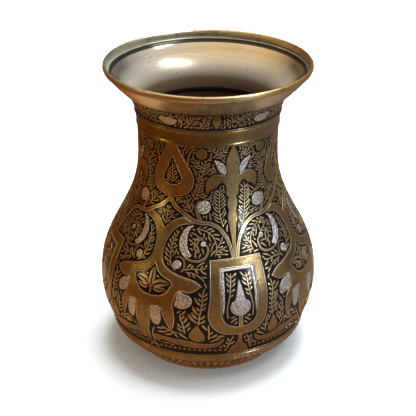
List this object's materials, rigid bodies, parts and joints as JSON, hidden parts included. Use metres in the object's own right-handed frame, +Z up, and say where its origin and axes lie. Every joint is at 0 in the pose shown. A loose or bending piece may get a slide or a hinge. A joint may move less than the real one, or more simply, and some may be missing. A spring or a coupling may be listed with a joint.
{
  "type": "engraved brass kalash pot",
  "caption": "Waisted brass pot with a flared mouth, round belly and low foot, engraved all over with leaf scrolls, shields and rosettes, with white-metal inlays.",
  "frame": {"origin": "centre of the foot's resting face", "axes": "+Z up along the pot's axis of turning; -Y is the front, where the pictured shield stands slightly to the right (+X)"},
  "size_m": [0.11, 0.11, 0.15],
  "materials": {
    "engraved_brass": "aged brass, engraved, with black lacquer in the ground",
    "worn_brass": "aged brass with rubbed, bright edges",
    "tinned_brass": "satin, turned; silvery tinned inside, aged brass outside",
    "plain_brass": "dull, unpolished",
    "white_metal": "stippled tin-silver sheet, satin",
    "solder": "dull grey solder"
  },
  "bodies": {
    "root": {"base_plate": "plain_brass", "base_solder_ring": "solder", "belly_solder_ring": "solder", "body_shell": "engraved_brass", "bud_1_left": "white_metal", "bud_1_right": "white_metal", "bud_2_left": "white_metal", "bud_2_right": "white_metal", "bud_3_left": "white_metal", "bud_3_right": "white_metal", "bud_4_left": "white_metal", "bud_4_right": "white_metal", "fleur_petal_1_left": "white_metal", "fleur_petal_1_right": "white_metal", "fleur_petal_2_left": "white_metal", "fleur_petal_2_right": "white_metal", "fleur_petal_3_left": "white_metal", "fleur_petal_3_right": "white_metal", "fleur_petal_4_left": "white_metal", "fleur_petal_4_right": "white_metal", "foot_ring": "engraved_brass", "foot_solder_ring": "solder", "lip_ring": "worn_brass", "lower_bowl": "engraved_brass", "lower_petal_1_left": "white_metal", "lower_petal_1_right": "white_metal", "lower_petal_2_left": "white_metal", "lower_petal_2_right": "white_metal", "lower_petal_3_left": "white_metal", "lower_petal_3_right": "white_metal", "lower_petal_4_left": "white_metal", "lower_petal_4_right": "white_metal", "mouth_funnel": "tinned_brass", "neck_collar": "worn_brass", "neck_leaf_1": "white_metal", "neck_leaf_2": "white_metal", "neck_leaf_3": "white_metal", "neck_leaf_4": "white_metal", "neck_leaf_5": "white_metal", "neck_solder_ring": "solder", "rosette_petal_1_left": "white_metal", "rosette_petal_1_right": "white_metal", "rosette_petal_2_left": "white_metal", "rosette_petal_2_right": "white_metal", "rosette_petal_3_left": "white_metal", "rosette_petal_3_right": "white_metal", "rosette_petal_4_left": "white_metal", "rosette_petal_4_right": "white_metal", "scroll_crescent_1_left": "white_metal", "scroll_crescent_1_right": "white_metal", "scroll_crescent_2_left": "white_metal", "scroll_crescent_2_right": "white_metal", "scroll_crescent_3_left": "white_metal", "scroll_crescent_3_right": "white_metal", "scroll_crescent_4_left": "white_metal", "scroll_crescent_4_right": "white_metal", "shield_drop_1": "white_metal", "shield_drop_2": "white_metal", "shield_drop_3": "white_metal", "shield_drop_4": "white_metal"}
  },
  "joints": []
}
